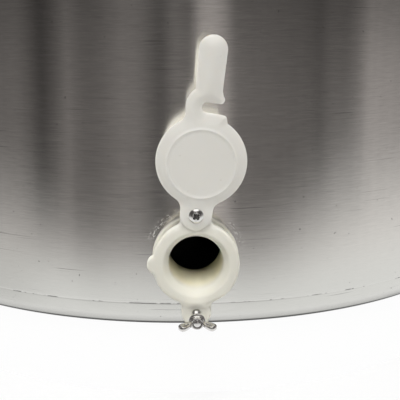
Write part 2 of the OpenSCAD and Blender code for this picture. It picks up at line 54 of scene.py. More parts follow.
WALL_R = 300.0  # the wall's outside
SHEET = 1.0  # thickness of the steel sheet
CREASE_Z = 16.9  # the crease line's height
LID_Z = 813.3  # the lid's top
GATE_Z = 54.7  # the outlet's centre
FACE_Y = 324.0  # the gate's front face, from the tank's axis
LUG = 38.0  # each lug's centre, from the outlet's
BOLT_R = 3.0  # the pivot screw and the clamp bolt
BOLT_HOLE_R = 3.1  # the holes that they pass through
BODY_BACK = -8.5  # the back of the gate body's front flange, from the face
HOLE_CELLS = 6  # cells of the wall, to each side, that the gate's hole takes up


# Surfaces

def arc(centre, radius, start, end, steps=16):
    """Points at equal steps along a circle about centre, from angle start to angle end in degrees."""
    a = np.radians(np.linspace(start, end, steps + 1))
    return np.asarray(centre, float) + radius * np.stack([np.cos(a), np.sin(a)], 1)


def circle(centre, radius, steps):
    """Points at equal steps round a whole circle about centre, with none twice."""
    return arc(centre, radius, 0, 360, steps)[:-1]


def heading(v):
    """Direction of a plane vector in degrees."""
    return math.degrees(math.atan2(v[1], v[0]))


def bearing(degrees):
    """Unit vector that leans the given angle from straight up to the right."""
    return np.array([math.sin(math.radians(degrees)), math.cos(math.radians(degrees))])


def rounded(corners, closed=False, steps=6):
    """Straight runs between corners (x, y, radius), each corner an arc that touches both runs."""
    pts = [np.array(c[:2], float) for c in corners]
    out = []
    for i, (p, c) in enumerate(zip(pts, corners)):
        ends = not closed and i in (0, len(pts) - 1)
        if ends or c[2] == 0:
            out.append(p[None])
            continue
        a = pts[i - 1] - p
        b = pts[(i + 1) % len(pts)] - p
        a, b = a / np.linalg.norm(a), b / np.linalg.norm(b)
        half = math.acos(np.clip(a @ b, -1, 1)) / 2
        mid = (a + b) / np.linalg.norm(a + b)
        centre = p + mid * c[2] / math.sin(half)
        run = c[2] / math.tan(half)
        first = heading(p + a * run - centre)
        turn = (heading(p + b * run - centre) - first + 180) % 360 - 180
        out.append(arc(centre, c[2], first, first + turn, steps))
    return np.concatenate(out)


def quads(rows, cols, wrap_rows=False):
    """Corner numbers of the quads in a grid of points whose columns close up to a ring."""
    r = np.arange(rows if wrap_rows else rows - 1)[:, None]
    c = np.arange(cols)[None, :]
    r1, c1 = (r + 1) % rows, (c + 1) % cols
    ring = np.broadcast_arrays(r * cols + c, r * cols + c1, r1 * cols + c1, r1 * cols + c)
    return np.stack(ring, -1).reshape(-1, 4)


def round_axis(r, a, h):
    """Points at radius r, angle a and height h about the z axis, as a grid."""
    return np.stack(np.broadcast_arrays(r * np.cos(a), r * np.sin(a), h), -1)


def angles(steps):
    """Equal steps round a circle, as one row."""
    return np.arange(steps)[None] * TAU / steps


def turned(profile, steps=64):
    """A profile of (radius, height) carried round the z axis in equal steps, as rows of rings."""
    r, h = np.asarray(profile, float).T
    return round_axis(r[:, None], angles(steps), h[:, None])


def lifted(flat, height):
    """Plane points raised by a height each, or by one height for all."""
    return np.column_stack([flat, np.broadcast_to(height, len(flat))])


class Shape:
    """The surfaces of one piece, gathered as points and faces."""

    def __init__(self):
        self.points, self.faces, self.count = [], [], 0

    def add(self, points, faces):
        """Adds points (n, 3) and faces that number them from zero."""
        points = np.asarray(points, float).reshape(-1, 3)
        self.faces += (np.asarray(faces) + self.count).tolist()
        self.points.append(points)
        self.count += len(points)

    def grid(self, points, wrap_rows=False, keep=None):
        """Adds a grid of points (rows, columns, 3); keep picks its quads."""
        points = np.asarray(points, float)
        faces = quads(points.shape[0], points.shape[1], wrap_rows)
        self.add(points, faces if keep is None else faces[keep])

    def turn(self, profile, steps=64):
        """Adds a profile of (radius, height) carried round the z axis."""
        self.grid(turned(profile, steps))

    def rod(self, rings):
        """Adds rings of points as a bar, with a flat face on each end."""
        self.grid(rings)
        for ring in (rings[0], rings[-1]):
            self.add(ring, [list(range(len(ring)))])

    def sheet(self, loops, height, extra=np.zeros((0, 2))):
        """Adds the region inside the first loop and outside the others, raised by height, a function."""
        flat, tris = sheet_faces(loops, extra)
        self.add(lifted(flat, height(flat)), tris)

    def place(self, move):
        """Sends every point gathered so far through move."""
        self.points = [move(np.concatenate(self.points))]

    def piece(self, name, body, nodes, material, sharp):
        """Makes the object: joins the shared edges, turns the faces outward and shades smooth up to
        sharp degrees."""
        mesh = bpy.data.meshes.new(name)
        mesh.from_pydata(np.concatenate(self.points) * MM, [], self.faces)
        work = bmesh.new()
        work.from_mesh(mesh)
        bmesh.ops.remove_doubles(work, verts=work.verts, dist=MERGE)
        bmesh.ops.dissolve_degenerate(work, edges=work.edges, dist=SLIVER)
        bmesh.ops.recalc_face_normals(work, faces=work.faces)
        work.to_mesh(mesh)
        work.free()
        mesh.polygons.foreach_set("use_smooth", np.ones(len(mesh.polygons), bool))
        mesh.set_sharp_from_angle(angle=math.radians(sharp))
        mesh.materials.append(material)
        obj = bpy.data.objects.new(name, mesh)
        bpy.context.scene.collection.objects.link(obj)
        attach(obj, body)
        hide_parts(*nodes)


def tube(path, normal, radius, around=28, round_ends=0.0):
    """A circle of the given radius carried along a plane path; normal is the plane's, and round_ends is
    the radius of the rounding at the two ends."""
    path = np.asarray(path, float)
    step = np.gradient(path, axis=0)
    along = step / np.linalg.norm(step, axis=1)[:, None]
    size = np.full(len(path), radius)
    if round_ends:
        rows = 7
        t = np.radians(np.linspace(90, 0, rows))
        run = (round_ends - round_ends * np.sin(t))[:, None]
        edge = radius - round_ends + round_ends * np.cos(t)
        head = path[0] + run * along[0]
        tail = path[-1] - (run * along[-1])[::-1]
        first, last = np.repeat(along[:1], rows, 0), np.repeat(along[-1:], rows, 0)
        path = np.concatenate([head, path[1:-1], tail])
        along = np.concatenate([first, along[1:-1], last])
        size = np.concatenate([edge, size[1:-1], edge[::-1]])
    normal = np.asarray(normal, float)
    side = np.cross(along, normal)
    a = angles(around)[..., None]
    ring = np.cos(a) * normal + np.sin(a) * side[:, None, :]
    return path[:, None, :] + size[:, None, None] * ring


def at_gate(p):
    """Gate frame to CAD frame: x stays, y is up from the outlet's centre, z comes out of the gate's face."""
    return np.stack([p[:, 0], -FACE_Y - p[:, 2], GATE_Z + p[:, 1]], 1)


def even(outline, step):
    """A closed outline walked in equal steps of about the given length."""
    loop = np.concatenate([outline, outline[:1]])
    run = np.concatenate([[0], np.cumsum(np.linalg.norm(np.diff(loop, axis=0), axis=1))])
    keep = np.concatenate([[True], np.diff(run) > 1e-9])
    s = np.linspace(0, run[-1], max(8, int(run[-1] / step)), endpoint=False)
    return np.stack([np.interp(s, run[keep], loop[keep, i]) for i in (0, 1)], 1)


def inward(outline):
    """Unit normals of a closed anticlockwise outline, pointing in, smoothed over neighbouring points."""
    d = np.roll(outline, -1, 0) - np.roll(outline, 1, 0)
    n = np.stack([-d[:, 1], d[:, 0]], 1)
    n /= np.linalg.norm(n, axis=1)[:, None]
    n = n + 0.5 * (np.roll(n, 1, 0) + np.roll(n, -1, 0))
    return n / np.linalg.norm(n, axis=1)[:, None]


def edge_gap(points, outline):
    """Distance from each point to a closed outline, worked out in blocks of points."""
    a, b = outline, np.roll(outline, -1, 0)
    ab = b - a
    gap = np.zeros(len(points))
    block = 1500
    for first in range(0, len(points), block):
        p = points[first:first + block, None, :]
        t = np.clip(((p - a) * ab).sum(2) / (ab * ab).sum(1), 0, 1)
        away = ((a + t[..., None] * ab) - p) ** 2
        gap[first:first + block] = np.sqrt(away.sum(2)).min(1)
    return gap


def inside(points, outline):
    """Which points lie inside a closed outline, by counting the edges crossed on the way out."""
    a, b = outline, np.roll(outline, -1, 0)
    x, y = points[:, 0][:, None], points[:, 1][:, None]
    spans = (a[:, 1] > y) != (b[:, 1] > y)
    rise = np.where(b[:, 1] == a[:, 1], 1e-12, b[:, 1] - a[:, 1])
    cross = a[:, 0] + (y - a[:, 1]) * (b[:, 0] - a[:, 0]) / rise
    return (spans & (x < cross)).sum(1) % 2 == 1


def sheet_faces(loops, extra):
    """Triangles of the flat region inside the first loop and outside the others, through the extra points."""
    pts, edges, start = [], [], 0
    for loop in loops:
        n = len(loop)
        pts.append(loop)
        edges += [(start + i, start + (i + 1) % n) for i in range(n)]
        start += n
    pts.append(extra)
    flat = np.concatenate(pts)
    made = delaunay_2d_cdt([Vector(p) for p in flat], edges, [], 0, 1e-6)
    where = np.array([tuple(v) for v in made[0]])
    tris = np.array([f for f in made[2] if len(f) == 3])
    mid = where[tris].mean(1)
    good = inside(mid, loops[0])
    for hole in loops[1:]:
        good &= ~inside(mid, hole)
    return where, tris[good]


def smooth_step(x, lo, hi):
    """Rises smoothly from 0 at lo to 1 at hi."""
    t = np.clip((x - lo) / (hi - lo), 0, 1)
    return t * t * (3 - 2 * t)


def fall_off(gap, wide, deep):
    """How far a moulded face has dropped at a distance from its edge: a quarter of a flattened oval."""
    power = 2.2
    t = np.clip(1 - gap / wide, 0, 1)
    return deep * (1 - (1 - t ** power) ** (1 / power))


def lattice(outline, step):
    """Points of a triangular lattice over an outline's box."""
    row_share = 0.866
    lo, hi = outline.min(0), outline.max(0)
    x, y = np.meshgrid(np.arange(lo[0], hi[0], step), np.arange(lo[1], hi[1], step * row_share))
    x[1::2] += step / 2
    return np.stack([x.ravel(), y.ravel()], 1)


# Finishes

class Value:
    """A socket in a node tree; arithmetic on it adds Math nodes."""

    def __init__(self, owner, socket):
        self.owner, self.socket = owner, socket

    def math(self, operation, *others):
        """A Math node on this value and the others."""
        return self.owner.math(operation, self, *others)

    def __add__(self, other):
        return self.math("ADD", other)

    def __sub__(self, other):
        return self.math("SUBTRACT", other)

    def __mul__(self, other):
        return self.math("MULTIPLY", other)

    def __truediv__(self, other):
        return self.math("DIVIDE", other)

    def __pow__(self, other):
        return self.math("POWER", other)

    def __rsub__(self, other):
        return self.owner.math("SUBTRACT", other, self)

    def __rtruediv__(self, other):
        return self.owner.math("DIVIDE", other, self)

    __radd__ = __add__
    __rmul__ = __mul__

    def step(self, lo, hi):
        """Rises smoothly from 0 at lo to 1 at hi, or falls from 1 to 0 where hi is the lower one."""
        if lo > hi:
            return 1 - self.step(hi, lo)
        settings = {"interpolation_type": "SMOOTHSTEP"}
        sockets = {"Value": self, "From Min": lo, "From Max": hi}
        return self.owner.node("ShaderNodeMapRange", settings, sockets)

    def hypot(self, other):
        """The root of the sum of two squares."""
        return (self * self + other * other) ** 0.5


class Nodes:
    """A node tree and the one method that adds nodes to it."""

    def __init__(self, tree):
        self.tree = tree

    def node(self, kind, settings, sockets, output=0):
        """Adds a node: its settings or a ramp's stops first, then its sockets' values and links."""
        made = self.tree.nodes.new(kind)
        for key, value in settings.items():
            if key == "stops":
                set_stops(made.color_ramp.elements, value)
            else:
                setattr(made, key, value)
        for key, value in sockets.items():
            if isinstance(value, Value):
                self.tree.links.new(value.socket, made.inputs[key])
            else:
                made.inputs[key].default_value = value
        return Value(self, made.outputs[output])

    def math(self, operation, *values):
        """A Math node on values and numbers."""
        return self.node("ShaderNodeMath", {"operation": operation}, dict(enumerate(values)))

    def show(self, shader, output):
        """Links a shader to the tree's output node."""
        self.tree.links.new(shader.socket, self.tree.nodes[output].inputs[0])


def set_stops(elements, stops):
    """Gives a ramp its stops, each a place from 0 to 1 and a colour."""
    while len(elements) < len(stops):
        elements.new(1.0)
    for element, (place, color) in zip(elements, stops):
        element.position = place
        element.color = color


class Finish(Nodes):
    """One material and its nodes."""

    def __init__(self, name, **constants):
        self.material = bpy.data.materials.new(name)
        self.material.use_nodes = True
        super().__init__(self.material.node_tree)
        self.shader = self.tree.nodes["Principled BSDF"]
        for key, value in constants.items():
            self.shader.inputs[key.replace("_", " ")].default_value = value
        self.place = self.node("ShaderNodeTexCoord", {}, {}, "Object")

    def feed(self, **values):
        """Links values to the shader's own inputs."""
        for key, value in values.items():
            self.tree.links.new(value.socket, self.shader.inputs[key.replace("_", " ")])

    def vector(self, operation, a, b):
        """A Vector Math node on two vectors."""
        return self.node("ShaderNodeVectorMath", {"operation": operation}, {0: a, 1: b})

    def noise(self, scale, detail=2.0, rough=0.5, shift=(0, 0, 0), place=None):
        """Noise over Object coordinates, or over place, with its own scale along each axis."""
        place = self.vector("ADD", self.vector("MULTIPLY", place or self.place, scale), shift)
        sockets = {"Vector": place, "Scale": 1.0, "Detail": detail, "Roughness": rough}
        return self.node("ShaderNodeTexNoise", {}, sockets)

    def axes(self):
        """The three Object coordinates, in millimetres."""
        split = self.node("ShaderNodeSeparateXYZ", {}, {0: self.place}).socket.node
        return [Value(self, s) * 1000.0 for s in split.outputs]

    def mix(self, share, a, b):
        """A colour between a and b."""
        settings = {"data_type": "RGBA", "blend_type": "MIX"}
        return self.node("ShaderNodeMix", settings, {0: share, 6: a, 7: b}, 2)

    def dimmed(self, color, level):
        """A colour times a level."""
        return self.node("ShaderNodeVectorMath", {"operation": "SCALE"}, {0: color, 3: level})

    def bump(self, height, distance, strength):
        """A normal from a height of 0 to 1, which stands for the given distance in millimetres."""
        sockets = {"Strength": strength, "Distance": distance * MM, "Height": height}
        return self.node("ShaderNodeBump", {}, sockets)


def rgb(r, g, b):
    """A colour as a socket takes it."""
    return (r, g, b, 1.0)


def brushed_wall():
    """Sheet steel brushed round the tank: fine hairlines along the wall, broken dark scratches, specks,
    the broken dark line in the crease, painted shade at the foot, a painted reflection that turns the
    lower wall cooler, and pale scuffs on a ring about the gate."""
    f = Finish("tank_brushed_steel", Metallic=1.0, Anisotropic=0.8, Anisotropic_Rotation=0.25)
    x, y, z = f.axes()
    fine = f.noise((105, 105, 1900), 3, 0.6)
    hair = f.noise((42, 42, 1050), 2, 0.5, (3, 1, 7))
    broad = f.noise((13, 13, 20), 3, 0.55, (7, 2, 1))
    runs = f.noise((150, 150, 2.5), 2, 0.5, (2, 2, 8))
    cloud = f.noise((4, 4, 4), 3, 0.5, (1, 9, 4))
    long_marks = f.noise((14, 14, 1300), 1, 0.4, (5, 5, 2)).step(0.69, 0.76)
    scratch = long_marks * f.noise((22, 22, 40), 1, 0.5).step(0.5, 0.62)
    speck = f.noise((420, 420, 420), 1, 0.5).step(0.765, 0.80)
    rise = z - GATE_Z
    reach = x.hypot(rise)
    turn = rise.math("ARCTAN2", x)
    rubbed_left = turn.step(1.75, 2.1) * turn.step(3.0, 2.6)
    rubbed_right = 0.8 * turn.step(0.05, 0.3) * turn.step(0.95, 0.7)
    about_gate = f.node("ShaderNodeCombineXYZ", {}, {0: turn, 1: reach})
    flecks = f.noise((11, 0.95, 1), 4, 0.7, (3, 0, 0), about_gate).step(0.50, 0.66)
    ring = reach.step(32.6, 34.0) * reach.step(41.0, 34.5) * y.step(-150, -220)
    scuff = ring * flecks * (rubbed_left + rubbed_right)
    line = (z - CREASE_Z).math("ABSOLUTE").step(0.6, 0.12)
    crease = line * f.noise((70, 70, 20), 3, 0.65).step(0.53, 0.63)
    plain = 0.25 + 0.75 * z.step(25, 110)
    grain = 0.36 * fine + 0.18 * hair + 0.12 * broad + 0.08 * runs - 0.37
    # painted shade: the wall darkens over its lowest 8 mm and to a dark line at the very edge, standing in
    # for shadow and dark reflection under the foot
    foot = (1 - 0.30 * z.step(8.0, 2.0)) * (1 - 0.88 * z.step(3.4, 1.8))
    dark = (1 - 0.45 * scratch) * (1 - 0.5 * speck) * (1 - 0.62 * crease) * foot
    tint = f.mix(cloud, rgb(0.70, 0.672, 0.64), rgb(0.725, 0.705, 0.68))
    # painted reflection: below about 75 mm the wall's colour turns cooler and a little paler, as if mirroring
    # the pale floor
    tint = f.mix(0.8 * z.step(75, 12), tint, rgb(0.712, 0.716, 0.692))
    shade = f.dimmed(tint, (0.99 + grain * plain) * dark)
    lines = (fine * 0.6 + hair * 0.4) * plain - scratch * 0.5
    f.feed(Base_Color=f.mix(scuff * 0.6, shade, rgb(0.88, 0.87, 0.84)),
           Roughness=0.115 + 0.04 * hair + 0.06 * broad + 0.25 * scuff + 0.08 * speck,
           Metallic=1 - 0.7 * scuff, Normal=f.bump(lines, 0.010, 0.55))
    return f.material


def sheet_steel(name, tint, turn, aniso):
    """Sheet steel with a fine grain round the tank's axis, water spots and a few scratches."""
    f = Finish(name, Metallic=1.0, Anisotropic=aniso, Anisotropic_Rotation=turn)
    fine = f.noise((40, 40, 1600), 3, 0.6)
    cloud = f.noise((7, 7, 7), 4, 0.55, (2, 8, 5))
    spot = f.noise((90, 90, 90), 2, 0.5, (4, 4, 4)).step(0.68, 0.74)
    scratch = f.noise((300, 16, 60), 1, 0.4).step(0.72, 0.76) * cloud.step(0.48, 0.6)
    level = 0.88 + 0.14 * fine + 0.08 * cloud - 0.10 * spot - 0.22 * scratch
    f.feed(Base_Color=f.dimmed(tint, level), Roughness=0.24 + 0.12 * cloud + 0.05 * fine + 0.10 * spot,
           Normal=f.bump(fine - 0.6 * scratch, 0.008, 0.5))
    return f.material


def bar_steel(name, tint, rough, grain, shaded_recess_z=None):
    """Polished bar or turned fastener: small polishing marks, handling haze, a few dark pits, and painted
    shade in a recess at the given height in front."""
    f = Finish(name, Metallic=1.0)
    marks = f.noise((grain, grain, grain * 2.5), 3, 0.6)
    haze = f.noise((60, 60, 60), 3, 0.55, (6, 1, 3))
    pit = f.noise((900, 900, 900), 1, 0.5).step(0.74, 0.80)
    level = 0.90 + 0.12 * marks + 0.06 * haze - 0.35 * pit
    if shaded_recess_z:
        x, _, z = f.axes()
        rise = z - shaded_recess_z
        # painted shade: the colour darkens round the middle of the screw head's cross recess
        level = level * (1 - 0.72 * (x * x + rise * rise).step(6.8, 1.6))
    f.feed(Base_Color=f.dimmed(tint, level), Roughness=rough + 0.10 * haze + 0.05 * marks,
           Normal=f.bump(marks, 0.006, 0.5))
    return f.material


def moulded_nylon():
    """Ivory nylon: a satin moulded skin with faint cloudiness and small marks, a little light carried
    inside, a yellower body, and a brighter, yellower bore that is painted warm light bounced inside it."""
    f = Finish("gate_nylon", Subsurface_Weight=0.35, Subsurface_Scale=0.002,
               Subsurface_Radius=(1.0, 0.93, 0.80), Specular_IOR_Level=0.5)
    x, y, z = f.axes()
    cloud = f.noise((38, 38, 38), 3, 0.5)
    skin = f.noise((1500, 1500, 1500), 2, 0.6)
    drag = f.noise((240, 240, 1100), 2, 0.55, (5, 3, 2))
    mark = f.noise((330, 330, 330), 1, 0.5, (2, 6, 1)).step(0.755, 0.80)
    body = z.step(92, 76)
    reach = x.hypot(z - GATE_Z)
    bore = reach.step(22.5, 20.5) * y.step(-318.0, -304.0) * y.step(-250.0, -262.0)
    base = f.mix(cloud, rgb(0.75, 0.737, 0.694), rgb(0.795, 0.784, 0.745))
    base = f.mix(body * 0.5, base, rgb(0.735, 0.722, 0.615))
    # painted light: the bore is coloured brighter and yellower, standing in for warm light bounced and
    # carried inside it
    base = f.mix(bore * 0.95, base, rgb(0.89, 0.85, 0.67))
    f.feed(Base_Color=f.mix(mark * 0.25, base, rgb(0.50, 0.47, 0.40)),
           Roughness=0.35 + 0.12 * cloud + 0.06 * skin + 0.25 * body,
           Normal=f.bump(skin * 0.6 + drag * 0.25 + cloud * 0.5, 0.03, 0.30))
    return f.material


def seal_rubber():
    """Pale food-grade rubber with a dusty, faintly mottled skin."""
    f = Finish("gasket_rubber", Specular_IOR_Level=0.35)
    cloud = f.noise((80, 80, 80), 3, 0.6)
    grain = f.noise((2200, 2200, 2200), 2, 0.6)
    f.feed(Base_Color=f.mix(cloud, rgb(0.57, 0.56, 0.53), rgb(0.65, 0.64, 0.61)),
           Roughness=0.62 + 0.2 * grain, Normal=f.bump(grain, 0.04, 0.4))
    return f.material


WALL = brushed_wall()
FLOOR_PAN = sheet_steel("floor_pan_steel", (0.62, 0.61, 0.595), 0.0, 0.3)
LID_STEEL = sheet_steel("lid_brushed_steel", (0.66, 0.65, 0.635), 0.25, 0.6)
BAR = bar_steel("handle_bar_steel", (0.74, 0.735, 0.72), 0.12, 260)
FASTENER = bar_steel("fastener_steel", (0.72, 0.71, 0.695), 0.10, 620)
BRACKET = sheet_steel("bracket_pressed_steel", (0.72, 0.715, 0.70), 0.0, 0.2)
PIVOT = bar_steel("pivot_screw_steel", (0.72, 0.71, 0.695), 0.10, 620, GATE_Z + LUG)
NYLON = moulded_nylon()
RUBBER = seal_rubber()


# Tank

def shell_section():
    """The wall's closed section of (radius, height): a turned-in foot, a crease with a shallow dent, two
    beads that swell as bell curves and a rolled rim; then the rows beside the gate, outside and inside."""
    foot_r, foot_bend = 288.0, 4.0
    dent_h, dent_w, dent_reach = 0.07, 0.9, 1.1
    bead_z, upper_bead_z, bead_h, bead_w, bead_reach = 550.0, 738.0, 4.0, 3.6, 11.0
    rim_z, curl_r, curl_end = 795.0, 5.0, -130
    inner_r = WALL_R - SHEET

    crease_rows = CREASE_Z + np.linspace(-dent_reach, dent_reach, 7)
    gate_rows = np.linspace(20.0, 87.0, 2 * HOLE_CELLS + 1)
    lower_rows, middle_rows = np.arange(100, 530, 33.0), np.arange(575, 720, 24.0)
    bead_rows = np.linspace(-bead_reach, bead_reach, 15)
    wall_z = np.concatenate([[foot_bend, 9.0], crease_rows, gate_rows, lower_rows, bead_z + bead_rows,
                             middle_rows, upper_bead_z + bead_rows, [760.0, 778.0, rim_z]])
    swell = bead_h * sum(np.exp(-((wall_z - z) / bead_w) ** 2) for z in (bead_z, upper_bead_z))
    dent = dent_h * np.clip(1 - np.abs(wall_z - CREASE_Z) / dent_w, 0, 1)
    outer = np.stack([WALL_R + swell - dent, wall_z], 1)
    inner = np.stack([inner_r + swell - dent, wall_z], 1)
    bend_at, curl_at = (WALL_R - foot_bend, foot_bend), (inner_r + curl_r, rim_z)
    foot_out = np.concatenate([[[foot_r, 0]], arc(bend_at, foot_bend, -90, 0, 7)[:-1]])
    foot_in = np.concatenate([arc(bend_at, foot_bend - SHEET, 0, -90, 5)[1:], [[foot_r, SHEET]]])
    curl_in = arc(curl_at, curl_r - SHEET, 180, curl_end, 34)[1:]
    curl_out = arc(curl_at, curl_r, curl_end, 180, 36)[:-1]
    loop = np.concatenate([foot_out, outer, curl_in, curl_out, inner[::-1], foot_in])
    gate_row = int(np.argmin(np.abs(wall_z - gate_rows[0])))
    out_rows = len(foot_out) + gate_row + np.arange(len(gate_rows))
    in_rows = len(loop) - len(foot_in) - 1 - gate_row - np.arange(len(gate_rows))
    return loop, out_rows, in_rows


def make_shell():
    """The wall's section carried round the axis; near the gate its cells give way to a ring of cells about
    the hole, which lie at shares of the way from the hole to the cells around them."""
    steps, hole_r = 288, 24.8
    hole_shares = np.array([0, 0.06, 0.2, 0.45, 0.75])
    loop, out_rows, in_rows = shell_section()
    points = turned(loop, steps)
    front = steps * 3 // 4
    cols = np.arange(front - HOLE_CELLS, front + HOLE_CELLS + 1)
    face_row = np.repeat(np.arange(len(loop)), steps)
    face_col = np.tile(np.arange(steps), len(loop))
    cut_out = (face_row >= out_rows[0]) & (face_row < out_rows[-1])
    cut_in = (face_row >= in_rows[-1]) & (face_row < in_rows[0])
    cut = (face_col >= cols[0]) & (face_col < cols[-1]) & (cut_out | cut_in)
    s = Shape()
    s.grid(points, wrap_rows=True, keep=~cut)
    rims = []
    for band_rows, radius in ((out_rows, WALL_R), (in_rows, WALL_R - SHEET)):
        block = points[band_rows][:, cols]
        edge = np.concatenate([block[0, :-1], block[:-1, -1], block[-1, :0:-1], block[:0:-1, 0]])
        a = np.arctan2(edge[:, 2] - GATE_Z, edge[:, 0])
        hole = np.stack([hole_r * np.cos(a), GATE_Z + hole_r * np.sin(a)], 1)
        flat = hole + hole_shares[:, None, None] * (edge[:, [0, 2]] - hole)
        x, z = flat[..., 0], flat[..., 1]
        ring = np.stack([x, -np.sqrt(radius ** 2 - x ** 2), z], -1)
        s.grid(np.concatenate([ring, edge[None]]))
        rims.append(ring[0])
    s.grid(np.stack(rims))
    s.piece("tank_wall", "tank", ["tank_shell"], WALL, 50)


def make_floor():
    """The floor pan's section, a dish of a quarter cosine with a bent-down edge, carried round the axis."""
    top_z, dish, dish_r, hub_r = 16.5, 0.25, 290.0, 12.0
    bend, edge_r, edge_z = 4.0, 298.4, 4.0
    bend_at = (edge_r - bend, top_z - bend)
    r = np.concatenate([[0.0], np.linspace(hub_r, dish_r, 24)])
    top = np.stack([r, top_z - dish * np.cos(r / dish_r * math.pi / 2)], 1)
    under = top[::-1] - [0, SHEET]
    out = np.concatenate([arc(bend_at, bend, 90, 0, 6), [[edge_r, edge_z], [edge_r - SHEET, edge_z]],
                          arc(bend_at, bend - SHEET, 0, 90, 5)])
    s = Shape()
    s.turn(np.concatenate([top, out, under]), 192)
    s.piece("tank_floor_pan", "tank", ["tank_floor"], FLOOR_PAN, 50)


def make_lid():
    """The lid's section, with rounded bends and a rolled hem, carried round the axis; the collars and
    washers hide the screw holes, so it has none."""
    crown_r, ledge_r, skirt_r = 253.0, 273.0, 313.0
    ledge_z, skirt_z = 801.3, 778.0
    bend, corner = 14.0, 4.0
    hem_r, hem_drop, hem_lap = 2.0, 1.7, 0.2
    flat_r, flat_rows = 240.0, 13
    in_r, in_ledge_z, in_z = skirt_r - SHEET, ledge_z - SHEET, LID_Z - SHEET
    top = rounded([(0, LID_Z, 0), (crown_r, LID_Z, bend), (ledge_r, ledge_z, bend),
                   (skirt_r, ledge_z, corner), (skirt_r, skirt_z, 0)], steps=8)
    hem = arc((skirt_r - SHEET / 2, skirt_z - hem_drop), hem_r, 65, -245, 22)
    under = rounded([(in_r, skirt_z + hem_lap, 0), (in_r, in_ledge_z, corner - SHEET),
                     (ledge_r, in_ledge_z, bend + SHEET), (crown_r, in_z, bend - SHEET),
                     (0, in_z, 0)], steps=8)
    r = np.linspace(0, flat_r, flat_rows + 1)[:-1]
    flat_top, flat_under = lifted(r, LID_Z), lifted(r, in_z)[::-1]
    s = Shape()
    s.turn(np.concatenate([flat_top, top[1:], hem, under[:-1], flat_under]), 240)
    s.piece("tank_lid", "lid", ["lid"], LID_STEEL, 50)


def make_lid_handle():
    """A round bar carried along an arch, with a turned collar at each foot."""
    half, arch_z, bend, foot = 60.0, LID_Z + 41.0, 16.0, 8.0
    bar_r, collar_r, root_r = 5.0, 9.0, 5.6
    seat_z, shoulder_z, root_z, top_z = LID_Z + np.array([0.1, 3.0, 3.3, 4.3])
    path = rounded([(-half, LID_Z, 0), (-half, arch_z, bend), (half, arch_z, bend), (half, LID_Z, 0)],
                   steps=14)
    rise = [[0, foot]]
    path = np.concatenate([path[:1], path[:1] + rise, path[1:-1], path[-1:] + rise, path[-1:]])
    track = np.stack([path[:, 0], np.zeros(len(path)), path[:, 1]], 1)
    collar = rounded([(bar_r, seat_z, 0), (collar_r, seat_z, 0.4), (collar_r, shoulder_z, 1.0),
                      (root_r, root_z, 0.3), (bar_r, top_z, 0)], steps=5)
    s = Shape()
    s.rod(tube(track, (0, 1, 0), bar_r, 32))
    for side in (-half, half):
        s.grid(turned(collar, 48) + [side, 0, 0])
    s.piece("lid_arch_handle", "lid", ["lid_handle"], BAR, 40)


def make_bail(side):
    """A round rod carried along the bail's path: a pin, a bend, a leg, the grip and back, with rounded
    pin ends."""
    out_x, pin_z, rod_r, end_round = 309.1, 655.0, 4.0, 0.8
    pin, half, drop = 43.0, 60.0, 62.0
    elbow, corner, lead = 8.0, 14.0, [[2.0, 0]]
    path = rounded([(pin, 0, 0), (half, 0, elbow), (half, -drop, corner), (-half, -drop, corner),
                    (-half, 0, elbow), (-pin, 0, 0)], steps=12)
    path = np.concatenate([path[:1], path[:1] + lead, path[1:-1], path[-1:] - lead, path[-1:]])
    track = np.stack([np.full(len(path), side * out_x), path[:, 0], pin_z + path[:, 1]], 1)
    s = Shape()
    s.rod(tube(track, (1, 0, 0), rod_r, 28, end_round))
    word = "left" if side < 0 else "right"
    s.piece(word + "_bail_rod", word + "_bail", [word + "_handle_bail"], BAR, 40)


# Gate

def corner_rest(y, r, w, f, side):
    """Where a circle of radius f rests in the corner between a disc about (0, y) and the line x = w."""
    return np.array([w + f, y + side * math.sqrt((r + f) ** 2 - (w + f) ** 2)])


def moulded_edge(s, line, normal, side, insets, front):
    """Adds an edge carried along an outline: rows of the side, each an inset and a height, then rows of
    the front at their own insets. Gives the last row's outline."""
    rows = [lifted(line + normal * d, h) for d, h in side]
    for d in insets:
        inner = line + normal * d
        rows.append(lifted(inner, front(inner, d)))
    s.grid(np.stack(rows))
    return inner


